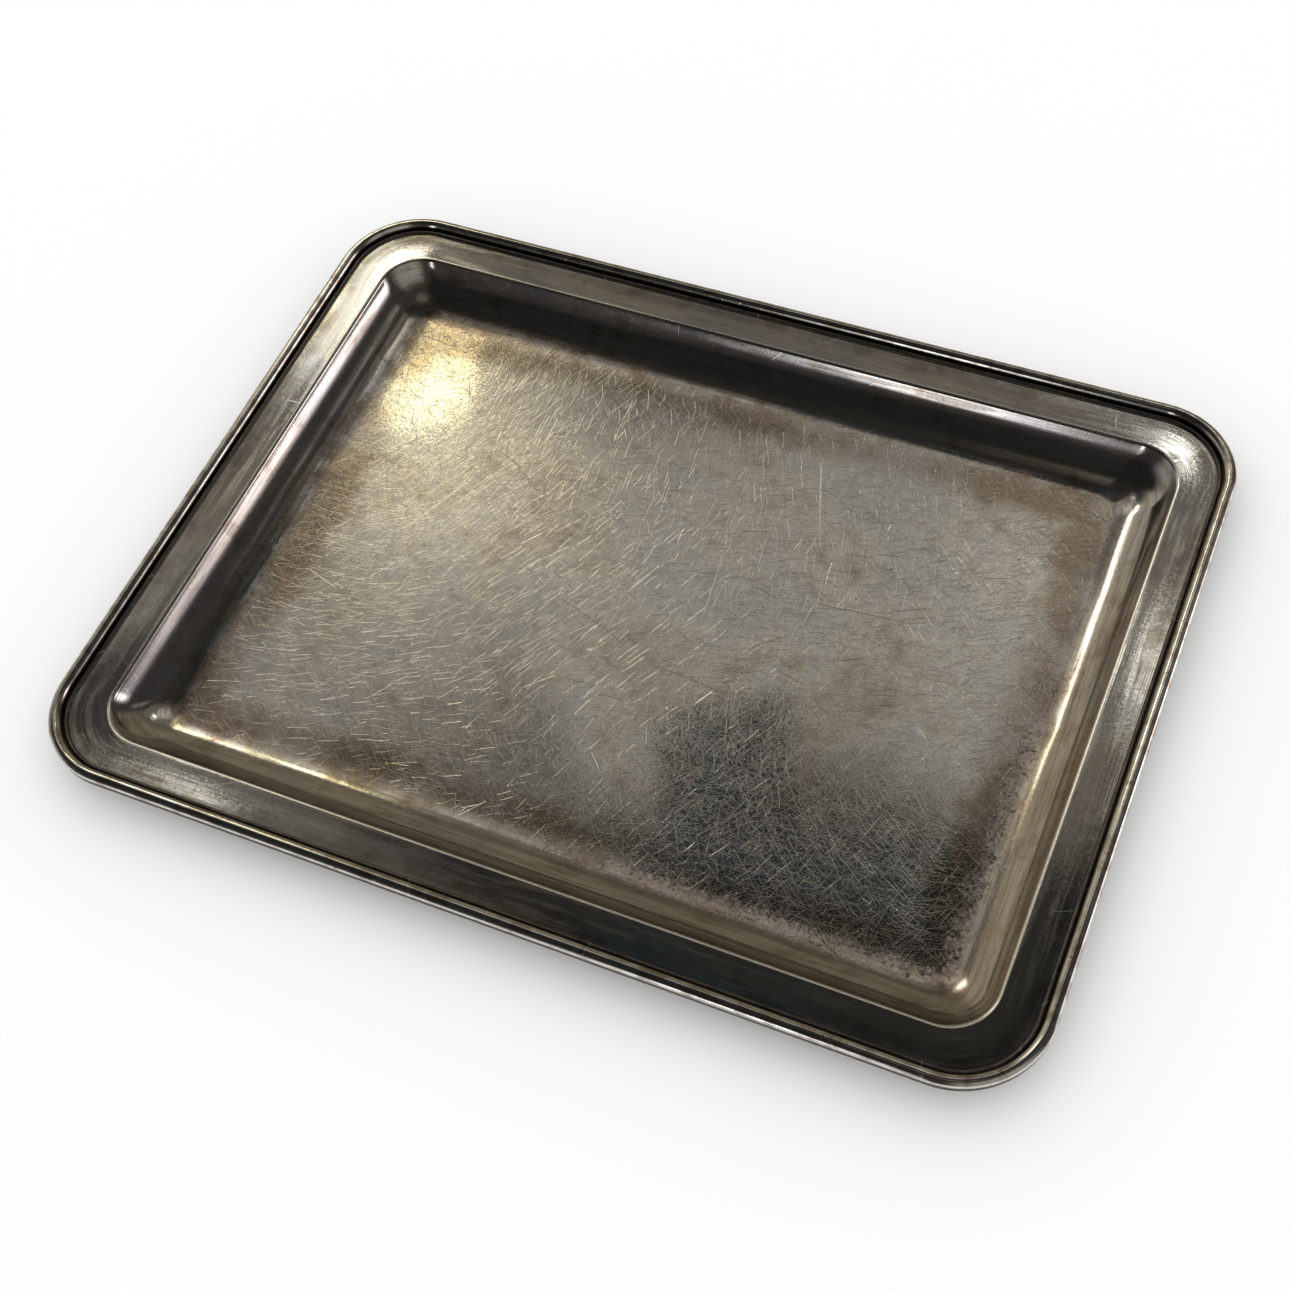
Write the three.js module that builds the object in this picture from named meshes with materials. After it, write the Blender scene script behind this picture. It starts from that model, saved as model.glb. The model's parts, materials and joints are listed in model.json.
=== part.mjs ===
// A rectangular dresser tray: one pressed sheet of silver-plated metal with a round-cornered well,
// and a border of two drawn wires, a heavy bead and a fine thread, soldered on round its flange.
// Millimetres, +Z up. The origin is the middle of the underside, where the tray rests.
import * as THREE from "three";
import { mergeVertices } from "three/addons/utils/BufferGeometryUtils.js";

// ---- Driving dimensions ----
const LENGTH = 280; // over the border, along X
const WIDTH = 216; // over the border, along Y
const SHEET = 1; // thickness of the pressed sheet
const EDGE_CORNER_RADIUS = 24.6; // outer corner, seen from above

const FLANGE_HEIGHT = 10.3; // top of the flange, where the border sits on it
const SHEET_EDGE_INSET = 0.3; // the sheet stops this far inside the bead's widest line
const SEAT_END_INSET = 5.2; // the flat seat under the border ends here
const SEAT_BEND_RADIUS = 2;
const DISH_RADIUS = 175; // the flange is almost flat, hollow by a hair between its seat and the arris
const DISH_FALL = 1; // slope of the flange where it leaves the seat, in degrees
const DISH_RISE = 2; // slope of the flange where it reaches the arris, in degrees
const ARRIS_RADIUS = 1.25; // crisp bend where the flange turns down into the well
const ARRIS_CORNER_RADIUS = 13.4; // corner of the well's mouth, seen from above
const WALL_STEEPEST = 63; // slope of the hollow wall just under the arris, in degrees
const FLOOR_CORNER_RADIUS = 7; // corner of the flat floor, seen from above

const BEAD_WIDTH = 3.4; // heavy wire, widest above its foot
const BEAD_FOOT_WIDTH = 2.8;
const BEAD_WAIST_HEIGHT = 1.3; // from the foot to the widest line
const BEAD_CROWN_HEIGHT = 1.5; // from the widest line to the top
const THREAD_WIDTH = 1.5; // fine half-round wire beside the bead
const WIRE_GAP = 0.3; // between the bead's widest line and the thread

// ---- Fineness of the facets ----
const CORNER_STEPS = 12; // facets round each corner of an outline
const SEAT_BEND_STEPS = 1;
const DISH_STEPS = 3;
const ARRIS_STEPS = 4;
const WALL_STEPS = 10;
const CROWN_STEPS = 10; // over the top of the bead
const WAIST_STEPS = 3; // up each side of the bead's foot
const THREAD_STEPS = 8;

const RIGHT_ANGLE = Math.PI / 2;
const radians = THREE.MathUtils.degToRad;

// ---- The sheet's bends ----
// A crowned bend has its centre below the sheet, and a hollow one above it. Slopes are positive
// where the sheet rises on its way in to the middle of the tray.
function dropOf({ radius, hollow, from, to }) {
  const drop = radius * (Math.cos(from) - Math.cos(to));
  return hollow ? -drop : drop;
}

function flangeBends() {
  const fall = -radians(DISH_FALL);
  const rise = radians(DISH_RISE);
  const steepest = -radians(WALL_STEEPEST);
  return [
    { radius: SEAT_BEND_RADIUS, hollow: false, from: 0, to: fall, steps: SEAT_BEND_STEPS },
    { radius: DISH_RADIUS, hollow: true, from: fall, to: rise, steps: DISH_STEPS },
    { radius: ARRIS_RADIUS, hollow: false, from: rise, to: steepest, steps: ARRIS_STEPS },
  ];
}

// The hollow wall takes up the height that is left, and runs out level with the floor.
function wallBend(flange) {
  const height = FLANGE_HEIGHT - SHEET - flange.reduce((sum, bend) => sum + dropOf(bend), 0);
  const from = -radians(WALL_STEEPEST);
  return { radius: height / (1 - Math.cos(from)), hollow: true, from, to: 0, steps: WALL_STEPS };
}

// Points along the sheet's top face from the edge to the floor, each with the slope there.
function walkSheet() {
  const flange = flangeBends();
  const stations = [
    { inset: SHEET_EDGE_INSET, height: FLANGE_HEIGHT, slope: 0 },
    { inset: SEAT_END_INSET, height: FLANGE_HEIGHT, slope: 0 },
  ];
  for (const { radius, hollow, from, to, steps } of [...flange, wallBend(flange)]) {
    const start = stations.at(-1);
    const side = hollow ? 1 : -1;
    for (let step = 1; step <= steps; step += 1) {
      const slope = THREE.MathUtils.lerp(from, to, step / steps);
      const inset = start.inset + side * radius * (Math.sin(slope) - Math.sin(from));
      const height = start.height + side * radius * (Math.cos(from) - Math.cos(slope));
      stations.push({ inset, height, slope });
    }
  }
  return stations;
}

const SHEET_STATIONS = walkSheet();
const ARRIS_INSET = SHEET_STATIONS[1 + SEAT_BEND_STEPS + DISH_STEPS].inset;
const FLOOR_INSET = SHEET_STATIONS.at(-1).inset;

// ---- Outlines, seen from above ----
// The border and its seat are concentric with the edge. Further in, the flange and the wall lose
// corner radius more slowly than they move in, so the well's mouth stays generously rounded.
function cornerRadius(inset) {
  const seatRadius = EDGE_CORNER_RADIUS - SEAT_END_INSET;
  const { mapLinear } = THREE.MathUtils;
  if (inset <= SEAT_END_INSET) return EDGE_CORNER_RADIUS - inset;
  if (inset <= ARRIS_INSET) {
    return mapLinear(inset, SEAT_END_INSET, ARRIS_INSET, seatRadius, ARRIS_CORNER_RADIUS);
  }
  return mapLinear(inset, ARRIS_INSET, FLOOR_INSET, ARRIS_CORNER_RADIUS, FLOOR_CORNER_RADIUS);
}

// The round-cornered rectangle at an inset from the outer edge, as points that run anticlockwise.
function outline(inset) {
  const radius = cornerRadius(inset);
  const x = LENGTH / 2 - inset - radius;
  const y = WIDTH / 2 - inset - radius;
  const centres = [[x, y], [-x, y], [-x, -y], [x, -y]];
  const path = new THREE.Path();
  centres.forEach(([centreX, centreY], corner) => {
    const start = corner * RIGHT_ANGLE;
    path.absarc(centreX, centreY, radius, start, start + RIGHT_ANGLE);
  });
  path.closePath();
  const points = path.getPoints(CORNER_STEPS / 2); // an arc gets twice this number of facets
  points.pop(); // the path ends where it began
  return points;
}

// ---- Solids swept round the outline ----
// Each section is a list of points with x as the inset and y as the height.
function ringsOf(section) {
  return section.map(({ x: inset, y: height }) => outline(inset).map(({ x, y }) => [x, y, height]));
}

// Triangles between one outline and the next one along the section.
function bandTriangles(firstOfOuter, firstOfNext, around) {
  const triangles = [];
  for (let step = 0; step < around; step += 1) {
    const after = (step + 1) % around;
    triangles.push([firstOfOuter + step, firstOfOuter + after, firstOfNext + step]);
    triangles.push([firstOfOuter + after, firstOfNext + after, firstOfNext + step]);
  }
  return triangles;
}

function solidOf(rings, triangles) {
  const geometry = new THREE.BufferGeometry();
  geometry.setAttribute("position", new THREE.Float32BufferAttribute(rings.flat(2), 3));
  geometry.setIndex(triangles.flat());
  const merged = mergeVertices(geometry);
  merged.computeVertexNormals();
  return merged;
}

// A wire's section closes on itself, so its sweep is a closed loop.
function sweepLoop(section) {
  const rings = ringsOf(section);
  const around = rings[0].length;
  const triangles = rings.flatMap((ring, index) => {
    const next = (index + 1) % rings.length;
    return bandTriangles(index * around, next * around, around);
  });
  return solidOf(rings, triangles);
}

// The sheet's section starts under the floor and ends on top of it, with a flat cap on each.
function sweepDish(section) {
  const rings = ringsOf(section);
  const around = rings[0].length;
  const last = rings.length - 1;
  const triangles = rings.slice(1).flatMap((ring, index) => {
    return bandTriangles(index * around, (index + 1) * around, around);
  });
  const underCap = THREE.ShapeUtils.triangulateShape(outline(section[0].x), []);
  underCap.forEach(([a, b, c]) => triangles.push([a, c, b]));
  const topCap = THREE.ShapeUtils.triangulateShape(outline(section[last].x), []);
  topCap.forEach((corners) => triangles.push(corners.map((corner) => last * around + corner)));
  return solidOf(rings, triangles);
}

// ---- The pieces ----
function trayBody() {
  const top = SHEET_STATIONS.map(({ inset, height }) => new THREE.Vector2(inset, height));
  const underside = SHEET_STATIONS.map(({ inset, height, slope }) => {
    return new THREE.Vector2(inset + SHEET * Math.sin(slope), height - SHEET * Math.cos(slope));
  });
  return sweepDish([...underside.reverse(), ...top]);
}

// A D-shaped wire: a flat foot, sides that swell to the widest line, and a rounded crown.
function borderBead() {
  const middle = BEAD_WIDTH / 2;
  const footInset = (BEAD_WIDTH - BEAD_FOOT_WIDTH) / 2;
  const waist = FLANGE_HEIGHT + BEAD_WAIST_HEIGHT;
  const section = [];
  for (let step = 0; step < WAIST_STEPS; step += 1) {
    const angle = (step / WAIST_STEPS) * RIGHT_ANGLE;
    const height = FLANGE_HEIGHT + BEAD_WAIST_HEIGHT * Math.sin(angle);
    section.push(new THREE.Vector2(footInset * Math.cos(angle), height));
  }
  const outerSide = section.map((point) => new THREE.Vector2(BEAD_WIDTH - point.x, point.y));
  for (let step = 0; step <= CROWN_STEPS; step += 1) {
    const angle = Math.PI * (1 - step / CROWN_STEPS);
    const inset = middle + middle * Math.cos(angle);
    section.push(new THREE.Vector2(inset, waist + BEAD_CROWN_HEIGHT * Math.sin(angle)));
  }
  return sweepLoop([...section, ...outerSide.reverse()]);
}

// A half-round wire, lying flat side down on the seat.
function borderThread() {
  const radius = THREAD_WIDTH / 2;
  const middle = BEAD_WIDTH + WIRE_GAP + radius;
  const section = [];
  for (let step = 0; step <= THREAD_STEPS; step += 1) {
    const angle = Math.PI * (1 - step / THREAD_STEPS);
    const height = FLANGE_HEIGHT + radius * Math.sin(angle);
    section.push(new THREE.Vector2(middle + radius * Math.cos(angle), height));
  }
  return sweepLoop(section);
}

const wornSheet = new THREE.MeshStandardMaterial({ color: 0x6f6860, roughness: 0.34, metalness: 1 });
const polishedWire = new THREE.MeshStandardMaterial({ color: 0x7d776c, roughness: 0.2, metalness: 1 });

function namedMesh(name, geometry, material) {
  const mesh = new THREE.Mesh(geometry, material);
  mesh.name = name;
  return mesh;
}

const tray = new THREE.Group();
tray.add(namedMesh("tray_body", trayBody(), wornSheet));
tray.add(namedMesh("border_bead", borderBead(), polishedWire));
tray.add(namedMesh("border_thread", borderThread(), polishedWire));

export default tray;
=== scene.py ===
"""A worn, tarnished silver-plate dresser tray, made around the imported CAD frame.

Metres, +Z up, in the frame's own axes: +X along the long side, the origin in the middle of the
underside. The three pieces are swept again with a much finer mesh to the frame's own sizes, given
materials of scratched and tarnished plate, and set on a pale floor in a soft studio.
"""
import json
import math

import bpy
import numpy as np
from mathutils import Matrix, Vector, noise


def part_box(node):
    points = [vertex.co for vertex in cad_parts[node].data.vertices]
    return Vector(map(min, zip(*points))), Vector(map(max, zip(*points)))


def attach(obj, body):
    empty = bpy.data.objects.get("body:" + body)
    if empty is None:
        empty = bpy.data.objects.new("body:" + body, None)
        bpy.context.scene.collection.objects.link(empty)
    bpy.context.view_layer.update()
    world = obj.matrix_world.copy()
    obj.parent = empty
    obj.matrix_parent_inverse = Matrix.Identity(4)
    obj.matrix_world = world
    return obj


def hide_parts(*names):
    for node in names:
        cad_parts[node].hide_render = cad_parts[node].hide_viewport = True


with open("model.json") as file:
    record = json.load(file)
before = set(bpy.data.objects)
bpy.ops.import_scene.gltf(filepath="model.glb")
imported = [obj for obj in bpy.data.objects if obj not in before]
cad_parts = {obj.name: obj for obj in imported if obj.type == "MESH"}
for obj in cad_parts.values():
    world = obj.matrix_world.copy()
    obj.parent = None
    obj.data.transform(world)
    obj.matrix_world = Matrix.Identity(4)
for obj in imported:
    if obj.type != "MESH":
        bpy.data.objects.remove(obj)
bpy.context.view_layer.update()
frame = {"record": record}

MM = 0.001

# ---- Sizes read from the frame ----
body_low, body_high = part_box("tray_body")
bead_low, bead_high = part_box("border_bead")
thread_low, thread_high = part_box("border_thread")
mounts = {mount["name"]: mount for mount in frame["record"]["mounts"]}

LENGTH = bead_high.x - bead_low.x
WIDTH = bead_high.y - bead_low.y
SEAT_HEIGHT = bead_low.z
SHEET = mounts["well_floor"]["pos_m"][2] - body_low.z
SHEET_EDGE_INSET = bead_high.x - body_high.x
THREAD_RADIUS = thread_high.z - thread_low.z
THREAD_INSET = bead_high.x - thread_high.x
SEAT_END_INSET = THREAD_INSET + 2 * THREAD_RADIUS

# ---- Sizes of the design that the boxes don't show, as in the CAD part ----
EDGE_CORNER_RADIUS = 24.6 * MM
ARRIS_CORNER_RADIUS = 13.4 * MM
FLOOR_CORNER_RADIUS = 7 * MM
SEAT_BEND_RADIUS = 2 * MM
DISH_RADIUS = 175 * MM
ARRIS_RADIUS = 1.25 * MM
DISH_FALL = math.radians(1)
DISH_RISE = math.radians(2)
WALL_STEEPEST = math.radians(63)
BEAD_WIDTH = 3.4 * MM
BEAD_FOOT_WIDTH = 2.8 * MM
BEAD_WAIST_HEIGHT = 1.3 * MM
BEAD_CROWN_HEIGHT = bead_high.z - bead_low.z - BEAD_WAIST_HEIGHT

# ---- Fineness of the meshes ----
CORNER_STEPS = 36
SIDE_STEP = 2.6 * MM
FLOOR_RINGS = 8  # between the foot of the wall and the floor's grid
GRID_MARGIN = 14 * MM  # from the foot of the wall to the floor's grid
SEAT_STATIONS = 5
SEAT_BEND_STEPS = 3
DISH_STEPS = 10
ARRIS_STEPS = 14
WALL_STEPS = 28
WAIST_STEPS = 8  # up each side of the bead
CROWN_STEPS = 28  # over the bead
THREAD_STEPS = 18


# ---- The sheet's section ----
def bend(start, radius, hollow, slope_from, slope_to, steps):
    """Stations (inset, height, slope) round one bend, after its start. A hollow bend turns up."""
    side = 1 if hollow else -1
    inset, height, _ = start
    stations = []
    for slope in np.linspace(slope_from, slope_to, steps + 1)[1:]:
        stations.append((
            inset + side * radius * (math.sin(slope) - math.sin(slope_from)),
            height + side * radius * (math.cos(slope_from) - math.cos(slope)),
            slope,
        ))
    return stations


def sheet_stations():
    """The top face's stations from the sheet's edge in to the floor, and the arris's place in them."""
    seat_insets = np.linspace(SHEET_EDGE_INSET, SEAT_END_INSET, SEAT_STATIONS)
    stations = [(inset, SEAT_HEIGHT, 0.0) for inset in seat_insets]
    stations += bend(stations[-1], SEAT_BEND_RADIUS, False, 0.0, -DISH_FALL, SEAT_BEND_STEPS)
    stations += bend(stations[-1], DISH_RADIUS, True, -DISH_FALL, DISH_RISE, DISH_STEPS)
    arris = len(stations) - 1
    stations += bend(stations[-1], ARRIS_RADIUS, False, DISH_RISE, -WALL_STEEPEST, ARRIS_STEPS)
    wall_radius = (stations[-1][1] - SHEET) / (1 - math.cos(WALL_STEEPEST))
    stations += bend(stations[-1], wall_radius, True, -WALL_STEEPEST, 0.0, WALL_STEPS)
    return np.array(stations), arris


STATIONS, ARRIS = sheet_stations()
ARRIS_INSET = STATIONS[ARRIS][0]
FLOOR_INSET = STATIONS[-1][0]


# ---- Outlines seen from above ----
def corner_radius(inset):
    """The outline's corner radius at an inset from the outer edge."""
    if inset < SEAT_END_INSET:
        return EDGE_CORNER_RADIUS - inset
    insets = [SEAT_END_INSET, ARRIS_INSET, FLOOR_INSET]
    radii = [EDGE_CORNER_RADIUS - SEAT_END_INSET, ARRIS_CORNER_RADIUS, FLOOR_CORNER_RADIUS]
    return float(np.interp(inset, insets, radii))


def outline_columns():
    """The columns that every ring has, anticlockwise from the middle of the front right corner.
    Each is a place on the rectangle of corner centres, from -1 to 1, and an outward direction."""
    straight_y = WIDTH - 2 * EDGE_CORNER_RADIUS
    straight_x = LENGTH - 2 * EDGE_CORNER_RADIUS
    places, directions, counts = [], [], []
    for side in range(4):
        steps = round((straight_x if side % 2 else straight_y) / SIDE_STEP)
        facing = side * math.pi / 2
        out = np.array([math.cos(facing), math.sin(facing)]).round(9)
        along = np.array([-out[1], out[0]])
        turns = np.linspace(-math.pi / 4, 0, CORNER_STEPS // 2, endpoint=False)
        for turn in turns:
            places.append(out - along)
            directions.append([math.cos(facing + turn), math.sin(facing + turn)])
        for step in range(steps):
            places.append(out + along * (2 * step / steps - 1))
            directions.append(out)
        for turn in turns + math.pi / 4:
            places.append(out + along)
            directions.append([math.cos(facing + turn), math.sin(facing + turn)])
        counts.append(steps + CORNER_STEPS)
    return np.array(places), np.array(directions), counts


PLACES, DIRECTIONS, SIDE_COUNTS = outline_columns()
AROUND = len(PLACES)


def outline(inset):
    """The round-cornered rectangle at an inset, as AROUND points."""
    radius = corner_radius(inset)
    centre = np.array([LENGTH, WIDTH]) / 2 - inset - radius
    return PLACES * centre + DIRECTIONS * radius


def distance_around():
    """How far round the outer edge each column is, in metres, and the whole way round."""
    edge = outline(0)
    steps = np.linalg.norm(np.roll(edge, -1, axis=0) - edge, axis=1)
    return np.concatenate([[0], np.cumsum(steps)[:-1]]), steps.sum()


DISTANCES, PERIMETER = distance_around()


# ---- Meshes ----
class Surface:
    """A mesh being built from rings of AROUND points, each with a trace and the inward direction.
    A trace is the way round the tray, wound on a cylinder so that it has no seam, and the way in."""

    def __init__(self):
        self.points = []
        self.traces = []
        self.inwards = []
        self.faces = []

    def add_ring(self, plan, height, way_in):
        """Gives the number of the ring's first point."""
        first = len(self.points)
        reel = PERIMETER / (2 * math.pi)
        for (x, y), turn, (out_x, out_y) in zip(plan, DISTANCES / reel, DIRECTIONS):
            self.points.append((x, y, height))
            self.traces.append((reel * math.cos(turn), reel * math.sin(turn), way_in))
            self.inwards.append((-out_x, -out_y, 0))
        return first

    def join(self, ring, following, upward=True):
        """The band of faces between two rings. Faces upward where the second ring is further in."""
        for step in range(AROUND):
            after = (step + 1) % AROUND
            face = (ring + step, ring + after, following + after, following + step)
            self.faces.append(face if upward else face[::-1])

    def add_floor(self, ring, height, way_in, upward):
        """Fills the inside of a ring with rings that square off, and then a plain grid."""
        half = np.array([LENGTH, WIDTH]) / 2 - FLOOR_INSET - GRID_MARGIN
        start = np.array([self.points[ring + step][:2] for step in range(AROUND)])
        count_y, count_x = SIDE_COUNTS[0], SIDE_COUNTS[1]
        xs = np.linspace(-half[0], half[0], count_x + 1)
        ys = np.linspace(-half[1], half[1], count_y + 1)
        border = [(count_x, j) for j in range(count_y)]
        border += [(i, count_y) for i in range(count_x, 0, -1)]
        border += [(0, j) for j in range(count_y, 0, -1)]
        border += [(i, 0) for i in range(count_x)]
        goal = np.array([(xs[i], ys[j]) for i, j in border])
        last = ring
        for step in range(1, FLOOR_RINGS):
            share = step / FLOOR_RINGS
            plan = start + (goal - start) * share
            following = self.add_ring(plan, height, way_in + share * GRID_MARGIN)
            self.join(last, following, upward)
            last = following
        index = {}
        first = self.add_ring(goal, height, way_in + GRID_MARGIN)
        for step, cell in enumerate(border):
            index[cell] = first + step
        self.join(last, first, upward)
        for i in range(1, count_x):
            for j in range(1, count_y):
                index[i, j] = len(self.points)
                self.points.append((xs[i], ys[j], height))
                self.traces.append((0, 0, way_in + GRID_MARGIN))
                self.inwards.append((0, 0, 0))
        for i in range(count_x):
            for j in range(count_y):
                face = (index[i, j], index[i + 1, j], index[i + 1, j + 1], index[i, j + 1])
                self.faces.append(face if upward else face[::-1])

    def build(self, name):
        mesh = bpy.data.meshes.new(name)
        mesh.from_pydata(self.points, [], self.faces)
        mesh.polygons.foreach_set("use_smooth", [True] * len(mesh.polygons))
        for label, values in (("trace", self.traces), ("inward", self.inwards)):
            attribute = mesh.attributes.new(label, "FLOAT_VECTOR", "POINT")
            attribute.data.foreach_set("vector", np.array(values, np.float32).ravel())
        mesh.update()
        piece = bpy.data.objects.new(name, mesh)
        bpy.context.scene.collection.objects.link(piece)
        return piece


def way_along(section):
    """The distance along a section, from its first point, at each of its points."""
    steps = np.linalg.norm(np.diff(section, axis=0), axis=1)
    return np.concatenate([[0], np.cumsum(steps)])


WAY_IN = way_along(STATIONS[:, :2])
WAY_TO_ARRIS = WAY_IN[ARRIS]
WAY_TO_FLOOR = WAY_IN[-1]


# ---- Hand-worked unevenness ----
WAVES = ((85 * MM, 0.10 * MM), (36 * MM, 0.05 * MM), (17 * MM, 0.014 * MM))  # each across and high
RIPPLE_SIZE = 13 * MM
RIPPLE_HEIGHT = 0.09 * MM
RIPPLE_SPREAD = 4 * MM  # how far from the foot of the wall the ripples reach
BUMPS = (  # each at x and y, with its reach and its height
    (112 * MM, 0, 4 * MM, 0.20 * MM),
    (108.5 * MM, 48 * MM, 5 * MM, 0.10 * MM),
    (-106.5 * MM, 15 * MM, 6 * MM, 0.10 * MM),
)
FOOT_BLEND = 5 * MM  # half the way over which the wall's bend eases into the floor
FOOT_CURVATURE = (1 - math.cos(WALL_STEEPEST)) / (STATIONS[ARRIS][1] - SHEET)  # the wall's, nearly


def foot_lift(inset):
    """How far the eased foot of the wall stands above its drawn section."""
    up = FLOOR_INSET - inset
    if up <= -FOOT_BLEND:
        return 0.0
    eased = FOOT_CURVATURE * (min(up, FOOT_BLEND) + FOOT_BLEND) ** 3 / (12 * FOOT_BLEND)
    drawn = FOOT_CURVATURE * max(0.0, min(up, FOOT_BLEND)) ** 2 / 2
    fade = float(np.interp(up, [FOOT_BLEND, FLOOR_INSET - ARRIS_INSET], [0, 1]))
    return (eased - drawn) * (1 - fade * fade * (3 - 2 * fade))


def smooth_noise(x, y, size, start):
    """Noise from 0 to 1 with features about size across, read from a starting place of its own."""
    spot = Vector((x / size + start[0], y / size + start[1], start[2]))
    return (noise.noise(spot) + 1) / 2


def unevenness(x, y):
    """How far the sheet stands above its drawn height: an eased foot, gentle waves that die out at
    the seat, and ripples and bumps round the foot. All of it lifts, so that nothing passes below."""
    inset = min(LENGTH / 2 - abs(x), WIDTH / 2 - abs(y))
    insets = [SEAT_END_INSET, ARRIS_INSET, FLOOR_INSET, 2 * FLOOR_INSET]
    share = float(np.interp(inset, insets, [0, 0.5, 0.5, 1]))
    lift = foot_lift(inset)
    for size, height in WAVES:
        lift += share * height * smooth_noise(x, y, size, (3.1, 7.7, size / MM))
    near_foot = math.exp(-((inset - FLOOR_INSET) / RIPPLE_SPREAD) ** 2)
    lift += near_foot * RIPPLE_HEIGHT * smooth_noise(x, y, RIPPLE_SIZE, (1.7, 5.2, 0.4))
    for bump_x, bump_y, reach, height in BUMPS:
        apart = math.hypot(x - bump_x, y - bump_y) / reach
        lift += height * math.exp(-apart * apart * 2)
    return lift


# ---- The pieces ----
def build_body():
    surface = Surface()
    slopes = STATIONS[:, 2]
    under = np.column_stack([
        STATIONS[:, 0] + SHEET * np.sin(slopes),
        STATIONS[:, 1] - SHEET * np.cos(slopes),
    ])
    rings = []
    for (inset, height), way in zip(under[::-1], WAY_IN[::-1]):
        rings.append(surface.add_ring(outline(inset), height, way))
    for (inset, height, _), way in zip(STATIONS, WAY_IN):
        rings.append(surface.add_ring(outline(inset), height, way))
    for ring, following in zip(rings, rings[1:]):
        surface.join(ring, following)
    surface.add_floor(rings[0], 0.0, WAY_TO_FLOOR, upward=False)
    surface.add_floor(rings[-1], SHEET, WAY_TO_FLOOR, upward=True)
    surface.points = [(x, y, z + unevenness(x, y)) for x, y, z in surface.points]
    return surface.build("pressed_sheet")


def build_wire(name, section):
    """A closed loop of wire. Its section's points run over the crown from the outside inwards."""
    surface = Surface()
    ways = way_along(np.array(section))
    rings = []
    for (inset, height), way in zip(section, ways):
        rings.append(surface.add_ring(outline(inset), height, way))
    for ring, following in zip(rings, rings[1:] + rings[:1]):
        surface.join(ring, following)
    return surface.build(name)


def bead_section():
    middle = BEAD_WIDTH / 2
    foot = (BEAD_WIDTH - BEAD_FOOT_WIDTH) / 2
    waist = SEAT_HEIGHT + BEAD_WAIST_HEIGHT
    rise = [
        (foot * math.cos(turn), SEAT_HEIGHT + BEAD_WAIST_HEIGHT * math.sin(turn))
        for turn in np.linspace(0, math.pi / 2, WAIST_STEPS, endpoint=False)
    ]
    crown = [
        (middle + middle * math.cos(turn), waist + BEAD_CROWN_HEIGHT * math.sin(turn))
        for turn in np.linspace(math.pi, 0, CROWN_STEPS + 1)
    ]
    fall = [(BEAD_WIDTH - inset, height) for inset, height in reversed(rise)]
    return rise + crown + fall


def thread_section():
    middle = THREAD_INSET + THREAD_RADIUS
    return [
        (middle + THREAD_RADIUS * math.cos(turn), SEAT_HEIGHT + THREAD_RADIUS * math.sin(turn))
        for turn in np.linspace(math.pi, 0, THREAD_STEPS + 1)
    ]


body = build_body()
bead = build_wire("bead_wire", bead_section())
thread = build_wire("thread_wire", thread_section())


# ---- Materials ----
CLEAN_SILVER = (0.63, 0.61, 0.555, 1)
# Worn bright silver, which is also the colour of the painted highlight along the arris
WORN_SILVER_AND_HIGHLIGHT = (0.80, 0.77, 0.71, 1)
BROWN_TARNISH = (0.27, 0.215, 0.16, 1)
MAUVE_STAIN = (0.46, 0.385, 0.345, 1)
GREY_TONING = (0.43, 0.43, 0.43, 1)
GRIME = (0.13, 0.112, 0.088, 1)
# Black tarnish, which is also the colour of the painted shade under the wires and low on them
BLACK_TARNISH_AND_SHADE = (0.055, 0.048, 0.042, 1)


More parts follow.
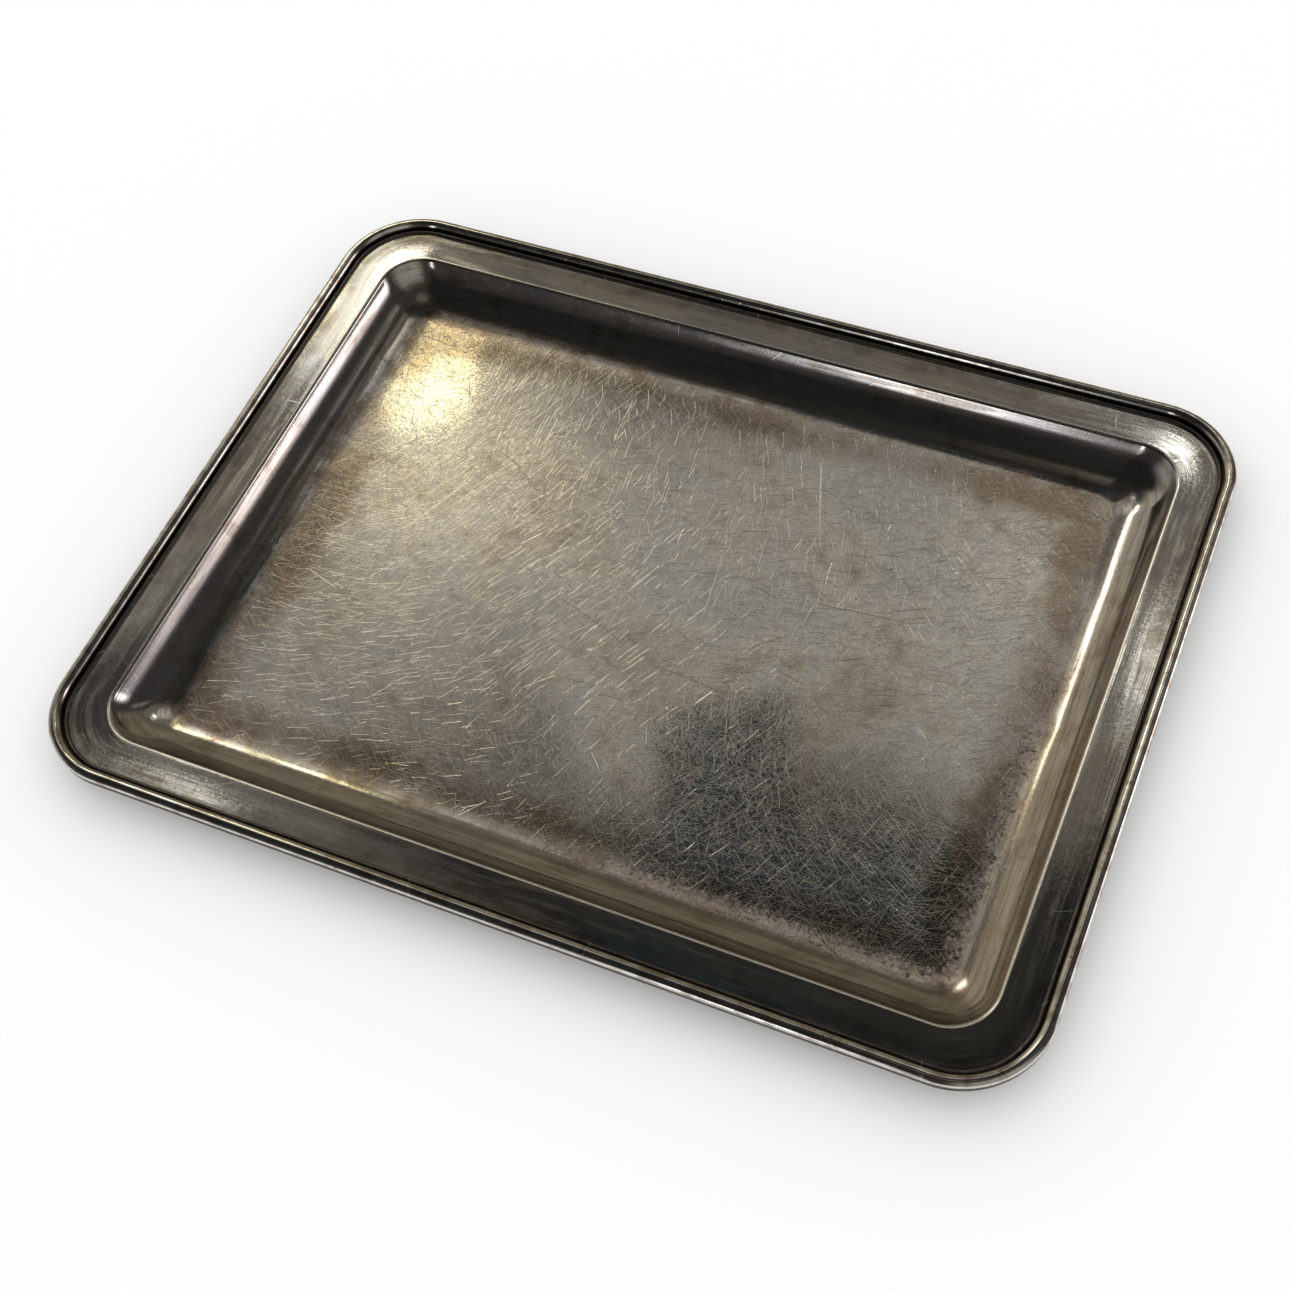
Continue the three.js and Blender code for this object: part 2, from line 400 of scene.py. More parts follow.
class Graph:
    """Makes shader nodes. An input is a number, a tuple or another node's output."""

    def __init__(self, tree):
        self.tree = tree

    def node(self, kind, inputs=(), **settings):
        made = self.tree.nodes.new("ShaderNode" + kind)
        for name, value in settings.items():
            setattr(made, name, value)
        for key, value in dict(inputs).items():
            self.plug(made.inputs[key], value)
        return made

    def plug(self, socket, value):
        if isinstance(value, bpy.types.NodeSocket):
            self.tree.links.new(value, socket)
        else:
            socket.default_value = value

    # Numbers
    def math(self, operation, *values, clamp=False):
        made = self.node("Math", enumerate(values), operation=operation, use_clamp=clamp)
        return made.outputs[0]

    def product(self, first, *others):
        for other in others:
            first = self.math("MULTIPLY", first, other)
        return first

    def highest(self, first, *others):
        for other in others:
            first = self.math("MAXIMUM", first, other)
        return first

    def remap(self, value, low, high, to_low=0.0, to_high=1.0):
        """A smooth step from one value to another, between low and high."""
        inputs = {"Value": value, "From Min": low, "From Max": high, "To Min": to_low, "To Max": to_high}
        return self.node("MapRange", inputs, interpolation_type="SMOOTHSTEP").outputs[0]

    def pick(self, mask, outside, inside):
        """One value where a mask is 0 and another where it is 1."""
        return self.remap(mask, 0, 1, outside, inside)

    def band(self, value, start, full, fade, end):
        """Rises from 0 to 1 between start and full, and falls again between fade and end."""
        return self.product(self.remap(value, start, full), self.remap(value, end, fade))

    def spread(self, chance, low, high):
        """A random number from 0 to 1, spread between two limits."""
        return self.math("MULTIPLY_ADD", chance, high - low, low)

    def jitter(self, value, noise, reach):
        """A value that a noise moves by up to half of reach either way."""
        return self.math("MULTIPLY_ADD", self.math("SUBTRACT", noise, 0.5), reach, value)

    # Vectors
    def vector(self, operation, *values):
        made = self.node("VectorMath", operation=operation)
        sockets = [socket for socket in made.inputs if socket.enabled]
        for socket, value in zip(sockets, values):
            self.plug(socket, value)
        outputs = [socket for socket in made.outputs if socket.enabled]
        return outputs[0]

    def times(self, vector, factor):
        made = self.node("VectorMath", {0: vector, "Scale": factor}, operation="SCALE")
        return made.outputs[0]

    def total(self, first, *others):
        for other in others:
            first = self.vector("ADD", first, other)
        return first

    def combine(self, x, y, z=0.0):
        return self.node("CombineXYZ", {"X": x, "Y": y, "Z": z}).outputs[0]

    def split(self, vector):
        return self.node("SeparateXYZ", {"Vector": vector}).outputs

    # Noises, whose features are about size metres across
    def noise(self, vector, size, detail=0.0, roughness=0.5, distortion=0.0):
        inputs = {
            "Vector": vector,
            "Scale": 1 / size,
            "Detail": detail,
            "Roughness": roughness,
            "Distortion": distortion,
        }
        return self.node("TexNoise", inputs).outputs[0]

    def noise_vector(self, vector, size, detail=0.0):
        """Three noises from 0 to 1, as one vector."""
        inputs = {"Vector": vector, "Scale": 1 / size, "Detail": detail}
        return self.node("TexNoise", inputs).outputs["Color"]

    def uneven(self, vector, size, detail, reach):
        """A noise that leans the surface by up to half of reach, whichever way."""
        around_zero = self.vector("SUBTRACT", self.noise_vector(vector, size, detail), (0.5, 0.5, 0.5))
        return self.times(around_zero, reach)

    # Colours
    def blend(self, factor, first, second):
        made = self.node("Mix", data_type="RGBA")
        made.clamp_factor = True
        for socket in made.inputs:
            if socket.enabled and socket.name == "Factor":
                self.plug(socket, factor)
            elif socket.enabled and socket.name in "AB":
                self.plug(socket, first if socket.name == "A" else second)
        return next(socket for socket in made.outputs if socket.enabled)


class Metal:
    """A metal being made: its shader nodes, and the coordinates that its maps are drawn on."""

    def __init__(self, name):
        self.material = bpy.data.materials.new(name)
        self.material.use_nodes = True
        self.graph = Graph(self.material.node_tree)
        self.place = self.graph.node("TexCoord").outputs["Object"]
        self.trace = self.graph.node("Attribute", attribute_name="trace").outputs["Vector"]
        self.inward = self.graph.node("Attribute", attribute_name="inward").outputs["Vector"]

    def lengthways(self, long, fine, detail):
        """Streaks that run round the tray, as long and as fine as is said."""
        brush = self.graph.node("Mapping", {
            "Vector": self.trace,
            "Scale": (long, long, fine),
        }, vector_type="TEXTURE").outputs[0]
        return self.graph.noise(brush, 1.0, detail)

    def leant_normal(self, lean):
        """The normal leant over by a vector, as far as that vector lies in the surface."""
        graph = self.graph
        normal = graph.node("NewGeometry").outputs["Normal"]
        sunk = graph.vector("DOT_PRODUCT", lean, normal)
        flat = graph.vector("SUBTRACT", lean, graph.times(normal, sunk))
        return graph.vector("NORMALIZE", graph.vector("ADD", normal, flat))

    def finish(self, colour, rough, lean):
        shader = self.material.node_tree.nodes["Principled BSDF"]
        shader.inputs["Metallic"].default_value = 1
        self.graph.plug(shader.inputs["Base Color"], colour)
        self.graph.plug(shader.inputs["Roughness"], rough)
        self.graph.plug(shader.inputs["Normal"], self.leant_normal(lean))
        return self.material


# ---- Scratches: each layer gives how it leans the surface in plan, and where its scratches are ----
GOLDEN_ANGLE = math.pi * (3 - math.sqrt(5))
WIPING_DIRECTIONS = 6  # in each layer of wiping scratches
FLANK_GAIN = 2.2  # a groove's bottom is round out to 1 / 2.2 of its half width, then evenly steep
SWIRL_SIZE = 75 * MM
SWIRL_REACH = 16 * MM
WIPING_STEP = (13 * MM, 29 * MM)  # moves the cells of each direction, so that no two coincide
NICKS_STEP = (137 * MM, 71 * MM)  # and those of each layer of nicks


def groove(graph, across, along, steep):
    """A scratch's own slope and mask. Across is in half widths, and along is in half lengths."""
    beside = graph.remap(graph.math("ABSOLUTE", across), 1.0, 0.7)
    ending = graph.remap(graph.math("ABSOLUTE", along), 1.0, 0.6)
    inside = graph.product(beside, ending)
    flank = graph.product(across, FLANK_GAIN)
    flank = graph.math("MAXIMUM", graph.math("MINIMUM", flank, 1.0), -1.0)
    return graph.product(flank, inside, steep), inside


def wiping(graph, place, first, length, spacing, width, steep):
    """Long fine scratches side by side, in several directions, each with its own small turn, bow and
    steepness. They lie in stretched cells, which u and v measure lengthways and crossways."""
    leans, marks = [], []
    for number in range(first, first + WIPING_DIRECTIONS):
        turn = number * GOLDEN_ANGLE
        mapped = graph.node("Mapping", {
            "Vector": place,
            "Location": (WIPING_STEP[0] * number, WIPING_STEP[1] * number, 0),
            "Rotation": (0, 0, turn),
            "Scale": (length, spacing, 1),
        }, vector_type="TEXTURE").outputs[0]
        cells = graph.node("TexVoronoi", {"Vector": mapped, "Scale": 1.0}, voronoi_dimensions="2D")
        u, v, _ = graph.split(graph.vector("SUBTRACT", mapped, cells.outputs["Position"]))
        one, two, three = graph.node("SeparateColor", {"Color": cells.outputs["Color"]}).outputs
        skew = graph.product(u, graph.spread(one, -0.6, 0.6))
        bow = graph.product(u, u, graph.spread(three, -1.2, 1.2))
        across = graph.math("ADD", v, graph.math("ADD", skew, bow))
        half_width = graph.spread(three, 0.5 * width / spacing, 1.5 * width / spacing)
        half_length = graph.spread(one, 0.15, 0.5)
        slope, inside = groove(
            graph,
            graph.math("DIVIDE", across, half_width),
            graph.math("DIVIDE", u, half_length),
            graph.product(two, steep),
        )
        leans.append(graph.times((-math.sin(turn), math.cos(turn), 0), slope))
        marks.append(graph.product(inside, two, two))
    return graph.total(*leans), graph.highest(*marks)


def nicks(graph, place, seed, cell, width, bow, steep):
    """One short scratch to a cell, each its own way."""
    moved = graph.vector("ADD", place, (NICKS_STEP[0] * seed, NICKS_STEP[1] * seed, 0))
    cells = graph.node("TexVoronoi", {"Vector": moved, "Scale": 1 / cell}, voronoi_dimensions="2D")
    offset = graph.vector("SUBTRACT", moved, cells.outputs["Position"])
    one, two, three = graph.node("SeparateColor", {"Color": cells.outputs["Color"]}).outputs
    turn = graph.product(one, 2 * math.pi)
    cosine = graph.math("COSINE", turn)
    sine = graph.math("SINE", turn)
    sideways = graph.combine(graph.product(sine, -1.0), cosine)
    along = graph.vector("DOT_PRODUCT", offset, graph.combine(cosine, sine))
    across = graph.vector("DOT_PRODUCT", offset, sideways)
    curve = graph.spread(two, -bow, bow)
    across = graph.math("MULTIPLY_ADD", graph.product(along, along), curve, across)
    half_width = graph.spread(three, 0.5 * width, 1.5 * width)
    half_length = graph.spread(three, 0.15 * cell, 0.6 * cell)
    slope, inside = groove(
        graph,
        graph.math("DIVIDE", across, half_width),
        graph.math("DIVIDE", along, half_length),
        graph.product(two, steep),
    )
    return graph.times(sideways, slope), graph.product(inside, two)


def together(graph, layers):
    """Several layers of scratches as one."""
    leans, marks = zip(*layers)
    return graph.total(*leans), graph.highest(*marks)


def fine_scratches(graph, place):
    """Wiping scratches, drawn into swirls, with short nicks between them."""
    swirled = graph.vector("ADD", place, graph.times(graph.noise_vector(place, SWIRL_SIZE), SWIRL_REACH))
    return together(graph, (
        wiping(graph, swirled, first=0, length=14 * MM, spacing=0.8 * MM, width=0.06 * MM, steep=0.12),
        wiping(graph, swirled, first=7, length=10 * MM, spacing=1.7 * MM, width=0.08 * MM, steep=0.19),
        nicks(graph, place, seed=11, cell=5.2 * MM, width=0.06 * MM, bow=40, steep=0.14),
        nicks(graph, place, seed=14, cell=2.6 * MM, width=0.05 * MM, bow=60, steep=0.09),
    ))


def deep_scratches(graph, place):
    """The few deeper knocks and long marks."""
    return together(graph, (
        nicks(graph, place, seed=12, cell=11 * MM, width=0.12 * MM, bow=12, steep=0.26),
        nicks(graph, place, seed=13, cell=34 * MM, width=0.12 * MM, bow=3, steep=0.24),
    ))


# ---- The sheet ----
class SheetMaps:
    """The noises and the zones of the sheet, from 0 to 1, that its colour, gloss and lean share."""

    def __init__(self, metal):
        graph = metal.graph
        way_in = graph.split(metal.trace)[2]
        self.place = metal.place
        self.cloud = graph.noise(self.place, 42 * MM, 4.0, 0.6)
        self.mottle = graph.noise(self.place, 9 * MM, 5.0, 0.65)
        self.speckle = graph.noise(self.place, 2.2 * MM, 5.0, 0.7)
        self.haze = graph.noise(self.place, 0.45 * MM, 2.0, 0.8)
        self.streaks = metal.lengthways(30 * MM, 0.25 * MM, 2.0)
        self.smears = metal.lengthways(22 * MM, 1.6 * MM, 3.0)

        # Zones that follow the section
        # Painted shade, nearly black, on the seat under the wires and in the gap between them
        self.shade_under_wires = graph.remap(
            way_in, SEAT_END_INSET - 0.4 * MM, SEAT_END_INSET - 1.2 * MM, 0, 0.9)
        self.by_wire = graph.remap(
            way_in, SEAT_END_INSET + 5 * MM, SEAT_END_INSET + 1 * MM, 0, 0.55)
        self.rubbed = graph.band(
            way_in, WAY_TO_ARRIS - 6 * MM, WAY_TO_ARRIS - 2 * MM, WAY_TO_ARRIS, WAY_TO_ARRIS + 1 * MM)
        # Where the arris is, for its rubbed wear and for the painted highlight along it
        from_arris = graph.math("ABSOLUTE", graph.math("SUBTRACT", way_in, WAY_TO_ARRIS + 0.45 * MM))
        self.on_arris = graph.remap(from_arris, 0.50 * MM, 0.15 * MM)
        self.on_wall = graph.band(
            way_in, WAY_TO_ARRIS + 1 * MM, WAY_TO_ARRIS + 2 * MM,
            WAY_TO_FLOOR - 4 * MM, WAY_TO_FLOOR + 1 * MM)
        self.on_floor = graph.remap(way_in, WAY_TO_FLOOR - 3 * MM, WAY_TO_FLOOR + 4 * MM)

        # Ragged zones along the foot of the wall, strongest round the front right corner
        from_damp = graph.vector("DISTANCE", self.place, (0.5 * LENGTH, -0.5 * WIDTH, 0.0))
        self.damp = graph.remap(from_damp, 0.80 * WIDTH, 0.45 * WIDTH, 0.15, 1.0)
        foot_way = graph.math("SUBTRACT", graph.jitter(way_in, self.mottle, 7 * MM), WAY_TO_FLOOR)
        self.foot = graph.product(
            graph.band(foot_way, -4.5 * MM, -1 * MM, 1.6 * MM, 3.6 * MM),
            graph.remap(self.speckle, 0.35, 0.6, 0.3, 1.0),
            self.damp,
        )
        self.edge_way = graph.math("SUBTRACT", graph.jitter(way_in, self.mottle, 14 * MM), WAY_TO_FLOOR)
        self.browned = graph.product(
            graph.band(self.edge_way, -4 * MM, 2 * MM, 5 * MM, 17 * MM),
            graph.remap(self.cloud, 0.30, 0.6, 0.35, 0.9),
        )


def brown_tarnish(graph, maps):
    """Cloudy all over, more round the floor and in streaks on the wall, and less where the flange is
    rubbed."""
    brown = graph.remap(maps.cloud, 0.42, 0.68, 0.05, 0.40)
    wall_streaks = graph.product(graph.remap(maps.smears, 0.42, 0.62, 0, 0.4), maps.on_wall)
    patches = graph.product(graph.remap(maps.mottle, 0.5, 0.64, 0, 0.35), graph.pick(maps.on_floor, 1, 0.4))
    for more in (maps.browned, wall_streaks, patches):
        brown = graph.math("ADD", brown, more, clamp=True)
    return graph.product(brown, graph.pick(maps.rubbed, 1, 0.35))


def toned_plate(graph, maps):
    """The plate's colour under its black marks and scratches."""
    colour = graph.blend(graph.remap(maps.cloud, 0.56, 0.40, 0, 0.7), CLEAN_SILVER, GREY_TONING)
    colour = graph.blend(brown_tarnish(graph, maps), colour, BROWN_TARNISH)
    damp_wall = graph.product(graph.remap(maps.damp, 0.3, 1, 0, 0.3), maps.on_wall)
    colour = graph.blend(damp_wall, colour, BROWN_TARNISH)
    wire_grime = graph.product(maps.by_wire, graph.remap(maps.mottle, 0.35, 0.6, 0.5, 1))
    colour = graph.blend(wire_grime, colour, GRIME)
    foot_grime = graph.product(
        graph.band(maps.edge_way, -6 * MM, 0, 3 * MM, 14 * MM),
        graph.remap(maps.speckle, 0.38, 0.56, 0.35, 1.0),
        graph.remap(graph.split(maps.place)[0], -0.35 * LENGTH, -0.42 * LENGTH, 0.12, 0.85),
    )
    colour = graph.blend(foot_grime, colour, GRIME)
    return graph.blend(graph.product(maps.foot, 0.85), colour, MAUVE_STAIN)


def dark_marks_and_shade(graph, maps):
    """Specks, cracks in the stains, streaks along the flange and wall, a tide line round the floor,
    and painted shade on the seat under the wires and in the gap between them."""
    specks = graph.product(graph.remap(maps.speckle, 0.62, 0.74), 0.5)
    crackle = graph.noise(maps.place, 7 * MM, 3.0, 0.6, distortion=0.6)
    cracks = graph.product(
        graph.remap(graph.math("ABSOLUTE", graph.math("SUBTRACT", crackle, 0.5)), 0.020, 0.007),
        graph.remap(maps.cloud, 0.44, 0.53),
        graph.highest(maps.foot, graph.product(maps.browned, 0.35)),
    )
    streaked = graph.product(graph.remap(maps.streaks, 0.52, 0.75), graph.pick(maps.on_floor, 0.55, 0.0))
    tide = graph.product(
        graph.band(maps.edge_way, 0, 2 * MM, 4 * MM, 9 * MM),
        graph.remap(maps.speckle, 0.40, 0.66, 0.15, 0.45),
        graph.remap(maps.cloud, 0.40, 0.52),
        maps.damp,
    )
    return graph.highest(specks, cracks, streaked, tide, maps.shade_under_wires)


def sheet_roughness(graph, maps, dark):
    """Hazy on the floor, smoother on the flange and wall, and dull where it is stained or rubbed."""
    floor_rough = graph.remap(maps.haze, 0.53, 0.64, 0.04, 0.26)
    side_rough = graph.remap(maps.mottle, 0.3, 0.7, 0.035, 0.075)
    side_rough = graph.math("MULTIPLY_ADD", maps.on_wall, 0.055, side_rough)
    side_rough = graph.math("ADD", side_rough, graph.remap(maps.smears, 0.46, 0.66, 0, 0.08))
    side_rough = graph.math("ADD", side_rough, graph.remap(maps.haze, 0.52, 0.64, 0, 0.05))
    mix = graph.node("Mix", {0: maps.on_floor, 2: side_rough, 3: floor_rough}, data_type="FLOAT")
    rough = graph.math("MULTIPLY_ADD", graph.highest(maps.foot, dark), 0.16, mix.outputs[0])
    return graph.math("MULTIPLY_ADD", maps.on_arris, 0.16, rough)


def sheet_lean(metal, maps, fine_lean, deep_lean):
    """Scratches, mostly on the floor, brush lines elsewhere, a fine grain, and crust on the stains."""
    graph = metal.graph
    brushed = graph.product(graph.math("SUBTRACT", maps.streaks, 0.5), graph.pick(maps.on_floor, 0.05, 0.0))
    return graph.total(
        graph.times(fine_lean, graph.pick(maps.on_floor, 0.07, 1.0)),
        graph.times(deep_lean, graph.pick(maps.on_floor, 0.25, 1.0)),
        graph.times(metal.inward, brushed),
        graph.uneven(maps.place, 0.6 * MM, 1.0, reach=0.02),
        graph.uneven(maps.place, 0.9 * MM, 2.0, reach=graph.product(maps.foot, 0.3)),
    )


def worn_sheet():
    """Plate that was wiped and polished for years: thousands of fine scratches on the floor, brown
    tarnish in the places that a cloth misses, and a bright line along the arris that is partly
    rubbed wear and partly a painted highlight."""
    metal = Metal("worn_sheet")
    graph = metal.graph
    maps = SheetMaps(metal)
    fine_lean, fine_marks = fine_scratches(graph, metal.place)
    deep_lean, deep_marks = deep_scratches(graph, metal.place)
    scored = graph.highest(
        graph.product(fine_marks, graph.pick(maps.on_floor, 0.15, 1.0)),
        graph.product(deep_marks, graph.pick(maps.on_floor, 0.3, 1.0)),
    )
    dark = dark_marks_and_shade(graph, maps)
    # Dark marks, and the painted shade under the wires
    colour = graph.blend(dark, toned_plate(graph, maps), BLACK_TARNISH_AND_SHADE)
    colour = graph.blend(graph.product(scored, 0.40), colour, WORN_SILVER_AND_HIGHLIGHT)
    # Painted highlight along the arris, over its rubbed wear
    colour = graph.blend(graph.product(maps.on_arris, 0.95), colour, WORN_SILVER_AND_HIGHLIGHT)
    rough = sheet_roughness(graph, maps, dark)
    return metal.finish(colour, rough, sheet_lean(metal, maps, fine_lean, deep_lean))


# ---- The wires ----
def bright_wire():
    """Wire that is rubbed bright on its crown, dull where it meets the sheet and painted nearly black
    there as shade, with fine lines along it and small knocks."""
    metal = Metal("bright_wire")
    graph = metal.graph
    mottle = graph.noise(metal.place, 6 * MM, 5.0, 0.6)
    speckle = graph.noise(metal.place, 1.6 * MM, 4.0, 0.7)
    streaks = metal.lengthways(25 * MM, 0.2 * MM, 2.0)
    height = graph.jitter(graph.split(metal.place)[2], mottle, 1.2 * MM)
    # Where the wire meets the sheet: painted shade there, and a rougher finish
    shade_by_sheet = graph.remap(height, SEAT_HEIGHT + 1.5 * MM, SEAT_HEIGHT + 0.5 * MM)
    knock_lean, knocked = nicks(
        graph, metal.place, seed=21, cell=9 * MM, width=0.12 * MM, bow=20, steep=0.30)
    colour = graph.blend(graph.remap(mottle, 0.42, 0.66, 0, 0.75), CLEAN_SILVER, BROWN_TARNISH)
    colour = graph.blend(graph.remap(speckle, 0.60, 0.72, 0, 0.7), colour, BLACK_TARNISH_AND_SHADE)
    # Painted shade, nearly black, low on the wire where it meets the sheet
    colour = graph.blend(graph.product(shade_by_sheet, 0.93), colour, BLACK_TARNISH_AND_SHADE)
    colour = graph.blend(graph.product(knocked, 0.6), colour, WORN_SILVER_AND_HIGHLIGHT)
    rough = graph.math("MULTIPLY_ADD", shade_by_sheet, 0.25, graph.remap(mottle, 0.3, 0.7, 0.08, 0.17))
    drawn_lines = graph.product(graph.math("SUBTRACT", streaks, 0.5), 0.10)
    return metal.finish(colour, rough, graph.total(graph.times(metal.inward, drawn_lines), knock_lean))


sheet_metal = worn_sheet()
wire_metal = bright_wire()
for piece, node, slot, material in (
    (body, "tray_body", "plated_sheet", sheet_metal),
    (bead, "border_bead", "plated_wire", wire_metal),
    (thread, "border_thread", "plated_wire", wire_metal),
):
    piece.data.materials.append(material)
    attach(piece, "root")
    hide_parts(node)


# ---- Floor: plain and pale, just under the tray ----
STAGE_REACH = 6.0
STAGE_DROP = 0.02 * MM
STAGE_WHITE = (0.9, 0.9, 0.9, 1)


def build_floor():
    mesh = bpy.data.meshes.new("studio_floor")
    corners = [(x * STAGE_REACH, y * STAGE_REACH, 0) for x, y in ((-1, -1), (1, -1), (1, 1), (-1, 1))]
    mesh.from_pydata(corners, [], [(0, 1, 2, 3)])
    floor = bpy.data.objects.new("studio_floor", mesh)
    floor.location.z = -STAGE_DROP
    bpy.context.scene.collection.objects.link(floor)
    material = bpy.data.materials.new("studio_floor")
    material.use_nodes = True
    shader = material.node_tree.nodes["Principled BSDF"]
    shader.inputs["Base Color"].default_value = STAGE_WHITE
    shader.inputs["Roughness"].default_value = 0.9
    shader.inputs["Specular IOR Level"].default_value = 0
    floor.data.materials.append(material)


build_floor()

# ---- Camera: hand held, a little over half a metre away, looking down at the tray ----
CAMERA_AZIMUTH = math.radians(30.14)
CAMERA_ELEVATION = math.radians(56.27)
CAMERA_ROLL = math.radians(-8.6)
CAMERA_DISTANCE = 1.9238 * LENGTH
CAMERA_AIM = Vector((0.0226 * LENGTH, -0.0645 * LENGTH, SEAT_HEIGHT + BEAD_WAIST_HEIGHT))
CAMERA_LENS = 55.83
CAMERA_SENSOR = 36


def build_camera():
    back = Vector((
        math.sin(CAMERA_AZIMUTH) * math.cos(CAMERA_ELEVATION),
        -math.cos(CAMERA_AZIMUTH) * math.cos(CAMERA_ELEVATION),
        math.sin(CAMERA_ELEVATION),
    ))
    level = back.to_track_quat("Z", "Y").to_matrix().to_4x4()
    data = bpy.data.cameras.new("camera")
    data.lens = CAMERA_LENS
    data.sensor_width = CAMERA_SENSOR
    camera = bpy.data.objects.new("camera", data)
    moved = Matrix.Translation(CAMERA_AIM + back * CAMERA_DISTANCE)
    camera.matrix_world = moved @ level @ Matrix.Rotation(CAMERA_ROLL, 4, "Z")
    bpy.context.scene.collection.objects.link(camera)
    bpy.context.scene.camera = camera


build_camera()


# ---- Key lamp: a round soft lamp whose warm reflection shows in the far left of the floor ----
KEY_SPOT = Vector((-0.37 * LENGTH, 0.26 * WIDTH, 0))  # where it points
KEY_AZIMUTH = 38
KEY_ELEVATION = 47
KEY_DISTANCE = 1.25
KEY_SIZE = 0.12
KEY_RADIANCE = 3.9  # how bright its face looks
KEY_WARM = (1.0, 0.94, 0.58)


def toward(azimuth, elevation):
    """A direction: azimuth is turned from +Y towards -X, in degrees."""
    turn, lift = math.radians(azimuth), math.radians(elevation)
    return Vector((-math.sin(turn) * math.cos(lift), math.cos(turn) * math.cos(lift), math.sin(lift)))


def build_key_lamp():
    data = bpy.data.lights.new("key_lamp", "AREA")
    data.shape = "DISK"
    data.size = KEY_SIZE
    data.energy = KEY_RADIANCE * math.pi * math.pi * KEY_SIZE * KEY_SIZE / 4
    data.color = KEY_WARM
    lamp = bpy.data.objects.new("key_lamp", data)
    back = toward(KEY_AZIMUTH, KEY_ELEVATION)
    facing = back.to_track_quat("Z", "Y").to_matrix().to_4x4()
    lamp.matrix_world = Matrix.Translation(KEY_SPOT + back * KEY_DISTANCE) @ facing
    bpy.context.scene.collection.objects.link(lamp)


build_key_lamp()


# ---- Studio: even light on the floor, and a dim room with pale panels for the metal to reflect ----
EVEN_LIGHT = (1.1, 1.1, 1.1, 1)
ROOM = (0.060, 0.058, 0.055, 1)
DARK_FRONT = (0.022, 0.025, 0.024, 1)
DIM_CEILING = (0.20, 0.18, 0.155, 1)
DARK_CEILING = (0.030, 0.030, 0.027, 1)
PALE_CEILING = (0.78, 0.74, 0.66, 1)
BRIGHT_WINDOW = (4.0, 4.0, 3.8, 1)
BLUE_GAP = (0.031, 0.044, 0.053, 1)
GREY_CEILING = (0.56, 0.54, 0.505, 1)
KEY_HALO = (1.45, 1.32, 1.05, 1)
BACK_WALL = (0.26, 0.228, 0.17, 1)
WINDOW = (2.2, 2.2, 2.1, 1)
FAR_WINDOW = (4.6, 4.3, 3.7, 1)
SOFT_WINDOW = (1.6, 1.6, 1.48, 1)
PALE_SIDE = (0.40, 0.39, 0.37, 1)
PINK_WALL = (4.0, 3.6, 3.75, 1)
PALE_ROOM = (3.4, 3.4, 3.6, 1)
TAN_WALL = (0.54, 0.485, 0.40, 1)


class Sky:
    """The room's colour by direction, painted as soft-edged panels over one another. Their level
    edges waver by up to 2.5 degrees, so that they don't look drawn with a ruler."""

    def __init__(self, graph):
        self.graph = graph
        direction = graph.vector("NORMALIZE", graph.node("TexCoord").outputs["Generated"])
        x, y, z = graph.split(direction)
        elevation = graph.math("DEGREES", graph.math("ARCSINE", z))
        self.elevation = graph.jitter(elevation, graph.noise(direction, 0.12, 2.0), 5.0)
        self.azimuth = graph.math("DEGREES", graph.math("ARCTAN2", graph.product(x, -1.0), y))
        self.colour = ROOM

    def add(self, colour, azimuth, elevation, wide, tall, soft, strength=1.0):
        """A panel by its middle and its size, in degrees. It may reach across azimuth 180."""
        graph = self.graph
        beside = graph.math("WRAP", graph.math("SUBTRACT", self.azimuth, azimuth), 180.0, -180.0)
        above = graph.math("SUBTRACT", self.elevation, elevation)
        mask = graph.product(
            graph.remap(graph.math("ABSOLUTE", beside), wide / 2 + soft, wide / 2 - soft),
            graph.remap(graph.math("ABSOLUTE", above), tall / 2 + soft, tall / 2 - soft),
            strength,
        )
        self.colour = graph.blend(mask, self.colour, colour)


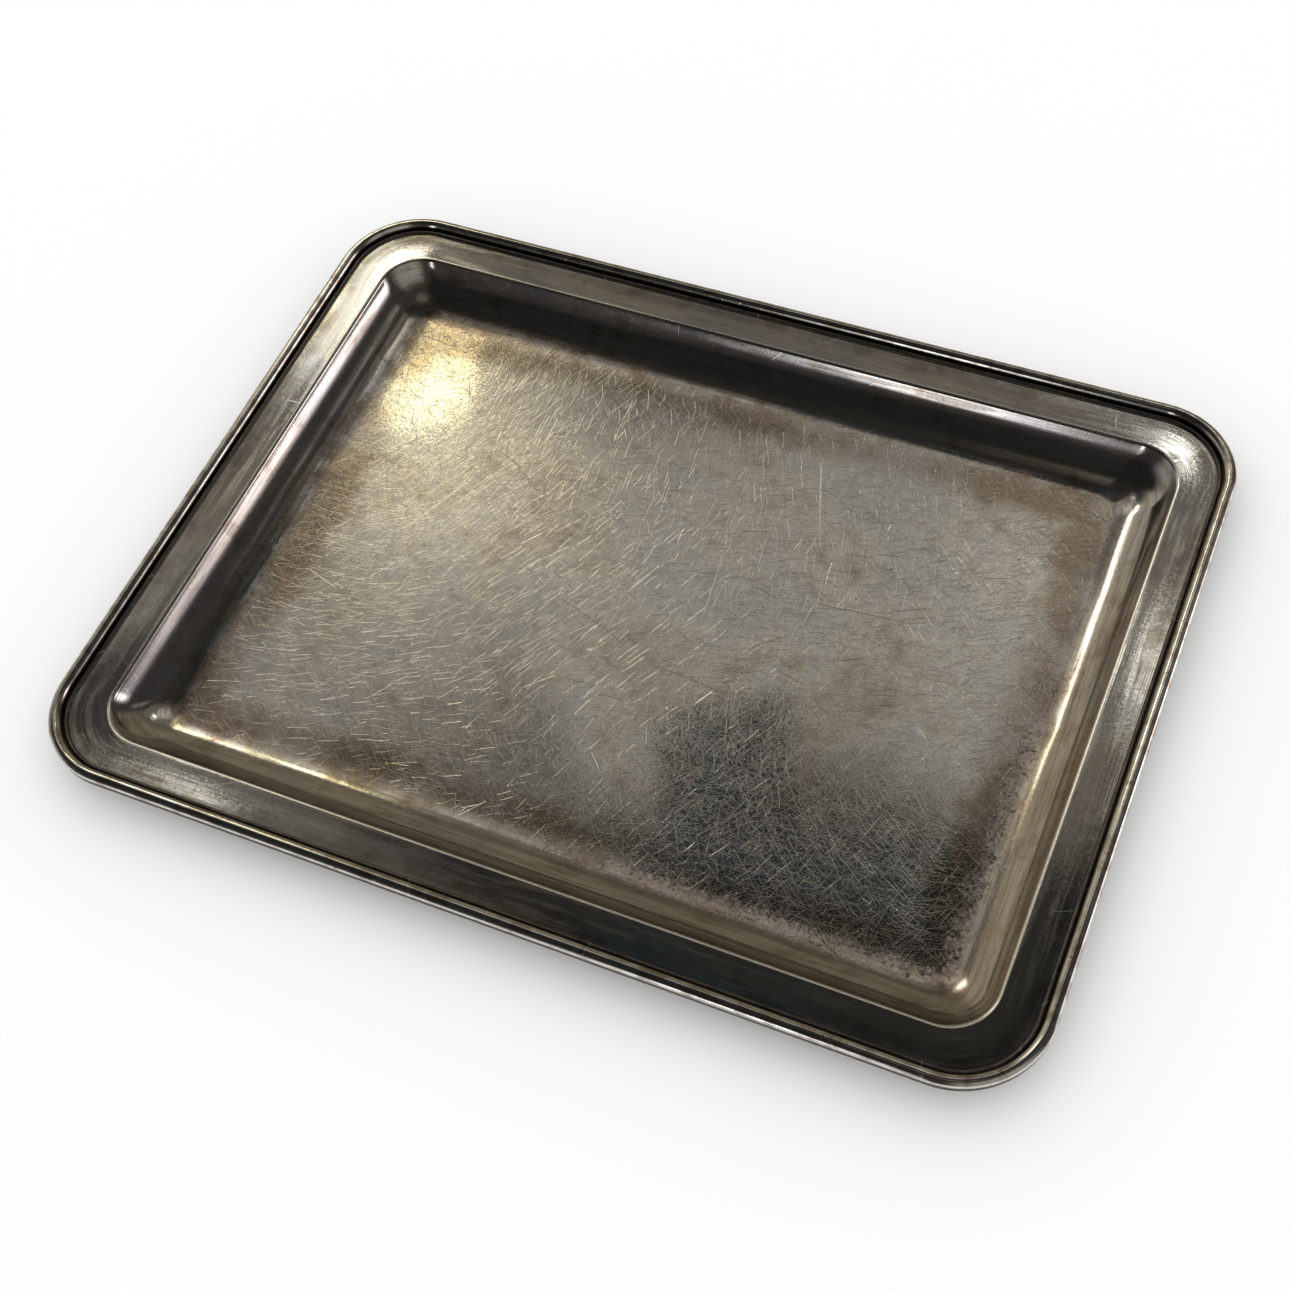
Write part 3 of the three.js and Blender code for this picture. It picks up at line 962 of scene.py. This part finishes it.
def build_world():
    """Even light for all but mirror-like reflections, which see the room and its panels instead."""
    world = bpy.data.worlds.new("studio")
    bpy.context.scene.world = world
    world.use_nodes = True
    graph = Graph(world.node_tree)
    background = world.node_tree.nodes["Background"]
    sky = Sky(graph)

    # Walls
    sky.add(PALE_SIDE, azimuth=-125, elevation=30, wide=70, tall=60, soft=14)
    sky.add(PALE_SIDE, azimuth=95, elevation=12, wide=44, tall=40, soft=12)
    sky.add(DARK_FRONT, azimuth=120, elevation=66, wide=110, tall=62, soft=8)
    sky.add(BACK_WALL, azimuth=20, elevation=12, wide=90, tall=50, soft=8)
    sky.add(TAN_WALL, azimuth=57, elevation=10, wide=34, tall=76, soft=7)

    # The ceiling that the tray's floor shows at the photo's angle, with a glow round the key lamp
    sky.add(DIM_CEILING, azimuth=22, elevation=51, wide=84, tall=21, soft=2)
    sky.add(GREY_CEILING, azimuth=21, elevation=55.5, wide=29, tall=10, soft=1)
    sky.add(PALE_CEILING, azimuth=10, elevation=54.5, wide=9, tall=6, soft=2.5, strength=0.7)
    sky.add(GREY_CEILING, azimuth=44, elevation=53, wide=21, tall=7, soft=2, strength=0.68)
    sky.add(KEY_HALO, azimuth=37, elevation=50, wide=10, tall=3, soft=4)
    sky.add(DARK_CEILING, azimuth=20, elevation=70, wide=90, tall=15, soft=1)

    # The dark gap in it that shows at the near end of the floor
    sky.add(BLUE_GAP, azimuth=26.6, elevation=61, wide=7.6, tall=5, soft=0.3)
    sky.add(BLUE_GAP, azimuth=22, elevation=64.4, wide=28, tall=4.5, soft=0.5)

    # Windows beyond it, which show as bright lines and glints, and the plain room beside them
    sky.add(ROOM, azimuth=62, elevation=51, wide=15, tall=9, soft=1.5)
    sky.add(SOFT_WINDOW, azimuth=54.8, elevation=55.4, wide=4.6, tall=2.8, soft=0.8)
    sky.add(WINDOW, azimuth=5, elevation=56, wide=6, tall=1.7, soft=0.8)
    sky.add(BRIGHT_WINDOW, azimuth=2.6, elevation=48.5, wide=6, tall=2.8, soft=0.7)
    sky.add(WINDOW, azimuth=41, elevation=44.8, wide=6, tall=2.4, soft=0.8, strength=0.7)
    sky.add(FAR_WINDOW, azimuth=42, elevation=40, wide=13, tall=6, soft=0.8)

    # Paler parts of the room at the side, behind the camera and overhead
    sky.add(PINK_WALL, azimuth=-58, elevation=5, wide=12, tall=26, soft=9)
    sky.add(PALE_ROOM, azimuth=169.5, elevation=8, wide=5, tall=24, soft=3.5)
    sky.add(DIM_CEILING, azimuth=0, elevation=90, wide=360, tall=14, soft=3)
    sky.add(PALE_SIDE, azimuth=-38, elevation=42, wide=6, tall=22, soft=6)

    glossy = graph.node("LightPath").outputs["Is Glossy Ray"]
    graph.plug(background.inputs["Color"], graph.blend(glossy, EVEN_LIGHT, sky.colour))
    background.inputs["Strength"].default_value = 1.0
    world.cycles.sampling_method = "NONE"


build_world()
bpy.context.scene.view_settings.view_transform = "Standard"
